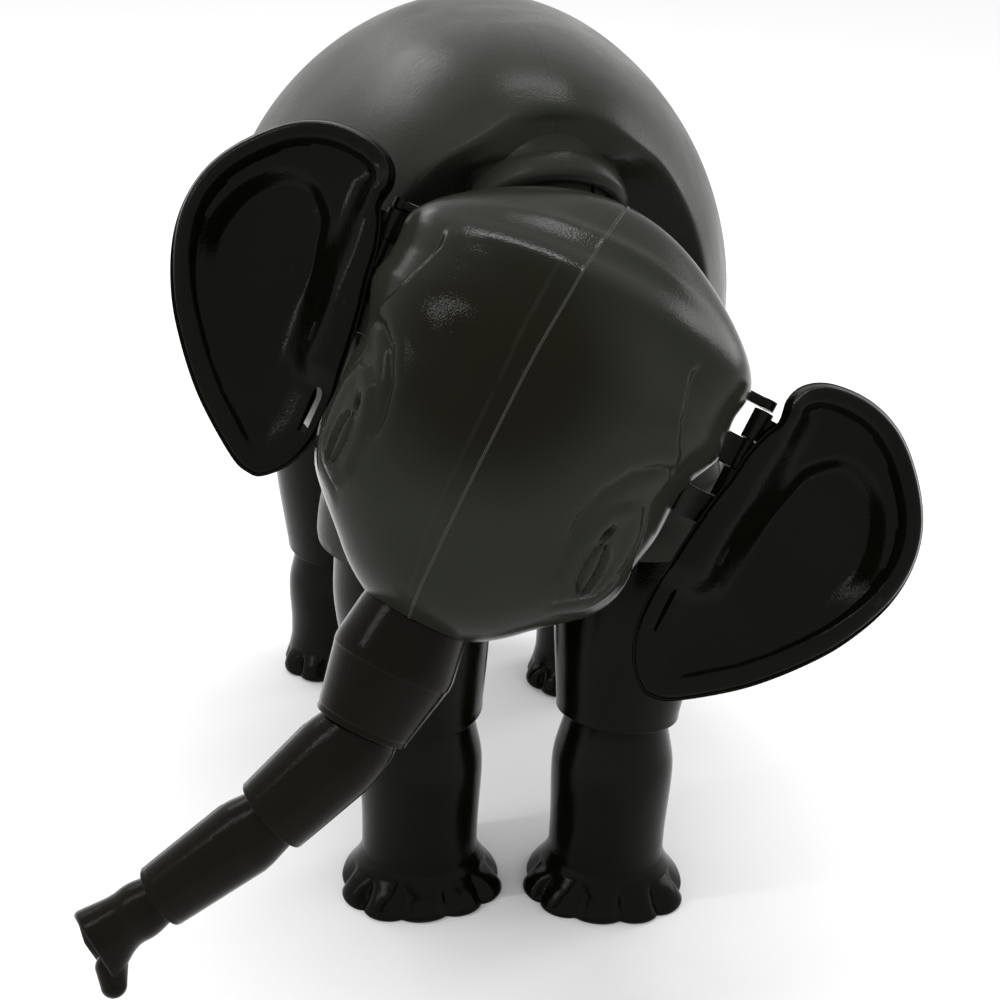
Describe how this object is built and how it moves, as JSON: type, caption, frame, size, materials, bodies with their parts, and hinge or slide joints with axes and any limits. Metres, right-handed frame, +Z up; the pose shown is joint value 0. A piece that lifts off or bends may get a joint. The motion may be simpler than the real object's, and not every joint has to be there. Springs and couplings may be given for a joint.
{
  "type": "toy elephant figure",
  "caption": "Jointed black plastic baby elephant toy, its head turned and tilted, with hinged ears, a segmented trunk, legs that bend at hip and knee, and a tail.",
  "frame": {"origin": "on the floor under the middle of the figure's bounding box", "axes": "+X to the elephant's own left, +Y to its rear, so that it faces -Y, +Z up"},
  "size_m": [0.1571, 0.2306, 0.19],
  "materials": {
    "shells": "moulded glossy black plastic with a dark olive cast",
    "links": "plain moulded plastic, hidden inside the joints",
    "pins": "plain steel pins"
  },
  "bodies": {
    "body": {"body_left": "shells", "body_right": "shells"},
    "neck_link": {"neck_link": "links"},
    "neck": {"neck": "shells", "neck_pin": "pins"},
    "head": {"head_left": "shells", "head_right": "shells"},
    "ear_left": {"ear_left": "shells", "ear_left_pin": "pins"},
    "ear_right": {"ear_right": "shells", "ear_right_pin": "pins"},
    "trunk_link_1": {"trunk_link_1": "links"},
    "trunk_1": {"trunk_segment_1": "shells", "trunk_pin_1": "pins"},
    "trunk_link_2": {"trunk_link_2": "links"},
    "trunk_2": {"trunk_segment_2": "shells", "trunk_pin_2": "pins"},
    "trunk_link_3": {"trunk_link_3": "links"},
    "trunk_3": {"trunk_segment_3": "shells", "trunk_pin_3": "pins"},
    "trunk_link_4": {"trunk_link_4": "links"},
    "trunk_4": {"trunk_segment_4": "shells", "trunk_pin_4": "pins"},
    "thigh_front_left": {"upper_leg_front_left": "shells", "hip_pin_front_left": "pins"},
    "knee_link_front_left": {"knee_link_front_left": "links"},
    "shin_front_left": {"lower_leg_front_left": "shells", "knee_pin_front_left": "pins"},
    "thigh_front_right": {"upper_leg_front_right": "shells", "hip_pin_front_right": "pins"},
    "knee_link_front_right": {"knee_link_front_right": "links"},
    "shin_front_right": {"lower_leg_front_right": "shells", "knee_pin_front_right": "pins"},
    "thigh_hind_left": {"upper_leg_hind_left": "shells", "hip_pin_hind_left": "pins"},
    "knee_link_hind_left": {"knee_link_hind_left": "links"},
    "shin_hind_left": {"lower_leg_hind_left": "shells", "knee_pin_hind_left": "pins"},
    "thigh_hind_right": {"upper_leg_hind_right": "shells", "hip_pin_hind_right": "pins"},
    "knee_link_hind_right": {"knee_link_hind_right": "links"},
    "shin_hind_right": {"lower_leg_hind_right": "shells", "knee_pin_hind_right": "pins"},
    "tail": {"tail": "shells", "tail_pin": "pins"}
  },
  "joints": [
    {"name": "neck_swivel", "type": "hinge", "parent": "body", "child": "neck_link", "pos_m": [0.0162, -0.051, 0.158], "axis": [0, 0.7071, 0.7071], "range_deg": [-4, 40]},
    {"name": "neck_bend", "type": "hinge", "parent": "neck_link", "child": "neck", "pos_m": [0.0162, -0.051, 0.158], "axis": [0.9978, -0.0467, 0.0467], "range_deg": [-20, 0]},
    {"name": "head_tilt", "type": "hinge", "parent": "neck", "child": "head", "pos_m": [0.01548, -0.06399, 0.13014], "axis": [0.2496, 0.8604, -0.4444], "range_deg": [-35, 2]},
    {"name": "ear_left_hinge", "type": "hinge", "parent": "head", "child": "ear_left", "pos_m": [0.04283, -0.09265, 0.11871], "axis": [0.4932, 0.282, 0.8229], "range_deg": [-25, 20]},
    {"name": "ear_right_hinge", "type": "hinge", "parent": "head", "child": "ear_right", "pos_m": [-0.01976, -0.05959, 0.14757], "axis": [0.4333, 0.3088, 0.8467], "range_deg": [-3, 23]},
    {"name": "trunk_1_swivel", "type": "hinge", "parent": "head", "child": "trunk_link_1", "pos_m": [-0.01571, -0.09492, 0.09381], "axis": [0.4932, 0.282, 0.8229], "range_deg": [-45, 45]},
    {"name": "trunk_1_bend", "type": "hinge", "parent": "trunk_link_1", "child": "trunk_1", "pos_m": [-0.01571, -0.09492, 0.09381], "axis": [0.1909, 0.8879, -0.4186], "range_deg": [-24, 24]},
    {"name": "trunk_2_swivel", "type": "hinge", "parent": "trunk_1", "child": "trunk_link_2", "pos_m": [-0.02627, -0.1015, 0.07506], "axis": [0.4693, 0.292, 0.8333], "range_deg": [-45, 45]},
    {"name": "trunk_2_bend", "type": "hinge", "parent": "trunk_link_2", "child": "trunk_2", "pos_m": [-0.02627, -0.1015, 0.07506], "axis": [0.1909, 0.8879, -0.4186], "range_deg": [-49, 6]},
    {"name": "trunk_3_swivel", "type": "hinge", "parent": "trunk_2", "child": "trunk_link_3", "pos_m": [-0.04343, -0.10472, 0.0604], "axis": [0.7527, 0.1414, 0.6431], "range_deg": [-45, 45]},
    {"name": "trunk_3_bend", "type": "hinge", "parent": "trunk_link_3", "child": "trunk_3", "pos_m": [-0.04343, -0.10472, 0.0604], "axis": [0.1909, 0.8879, -0.4186], "range_deg": [-34, 20]},
    {"name": "trunk_4_swivel", "type": "hinge", "parent": "trunk_3", "child": "trunk_link_4", "pos_m": [-0.06361, -0.10685, 0.04668], "axis": [0.8238, 0.087, 0.5601], "range_deg": [-45, 45]},
    {"name": "trunk_4_bend", "type": "hinge", "parent": "trunk_link_4", "child": "trunk_4", "pos_m": [-0.06361, -0.10685, 0.04668], "axis": [0.1909, 0.8879, -0.4186], "range_deg": [-30, 25]},
    {"name": "hip_front_left", "type": "hinge", "parent": "body", "child": "thigh_front_left", "pos_m": [0.0412, -0.047, 0.084], "axis": [0.9965, -0.0126, -0.0825], "range_deg": [-15, 15]},
    {"name": "knee_turn_front_left", "type": "hinge", "parent": "thigh_front_left", "child": "knee_link_front_left", "pos_m": [0.0376, -0.0535, 0.0415], "axis": [0.0834, 0.1507, 0.9851], "range_deg": [-30, 30]},
    {"name": "knee_front_left", "type": "hinge", "parent": "knee_link_front_left", "child": "shin_front_left", "pos_m": [0.0376, -0.0535, 0.0415], "axis": [0.9747, -0.2179, -0.0492], "range_deg": [-14, 12]},
    {"name": "hip_front_right", "type": "hinge", "parent": "body", "child": "thigh_front_right", "pos_m": [-0.0088, -0.047, 0.084], "axis": [0.9966, -0.001, 0.0821], "range_deg": [-15, 15]},
    {"name": "knee_turn_front_right", "type": "hinge", "parent": "thigh_front_right", "child": "knee_link_front_right", "pos_m": [-0.0053, -0.0465, 0.0415], "axis": [-0.0821, -0.0117, 0.9966], "range_deg": [-30, 30]},
    {"name": "knee_front_right", "type": "hinge", "parent": "knee_link_front_right", "child": "shin_front_right", "pos_m": [-0.0053, -0.0465, 0.0415], "axis": [0.996, 0.0339, 0.0824], "range_deg": [-14, 12]},
    {"name": "hip_hind_left", "type": "hinge", "parent": "body", "child": "thigh_hind_left", "pos_m": [0.0482, 0.047, 0.084], "axis": [0.9936, 0.0222, 0.1108], "range_deg": [-12, 15]},
    {"name": "knee_turn_hind_left", "type": "hinge", "parent": "thigh_hind_left", "child": "knee_link_hind_left", "pos_m": [0.054, 0.037, 0.034], "axis": [-0.113, 0.1949, 0.9743], "range_deg": [-30, 30]},
    {"name": "knee_hind_left", "type": "hinge", "parent": "knee_link_hind_left", "child": "shin_hind_left", "pos_m": [0.054, 0.037, 0.034], "axis": [0.9881, -0.0805, 0.1307], "range_deg": [-14, 12]},
    {"name": "hip_hind_right", "type": "hinge", "parent": "body", "child": "thigh_hind_right", "pos_m": [-0.0158, 0.047, 0.084], "axis": [0.9995, -0.005, 0.0312], "range_deg": [-15, 15]},
    {"name": "knee_turn_hind_right", "type": "hinge", "parent": "thigh_hind_right", "child": "knee_link_hind_right", "pos_m": [-0.0142, 0.055, 0.034], "axis": [-0.0316, -0.1579, 0.9869], "range_deg": [-30, 30]},
    {"name": "knee_hind_right", "type": "hinge", "parent": "knee_link_hind_right", "child": "shin_hind_right", "pos_m": [-0.0142, 0.055, 0.034], "axis": [0.9971, 0.0639, 0.0421], "range_deg": [-14, 12]},
    {"name": "tail_hinge", "type": "hinge", "parent": "body", "child": "tail", "pos_m": [0.0162, 0.09521, 0.142], "axis": [1, 0, 0], "range_deg": [-20, 35]}
  ]
}
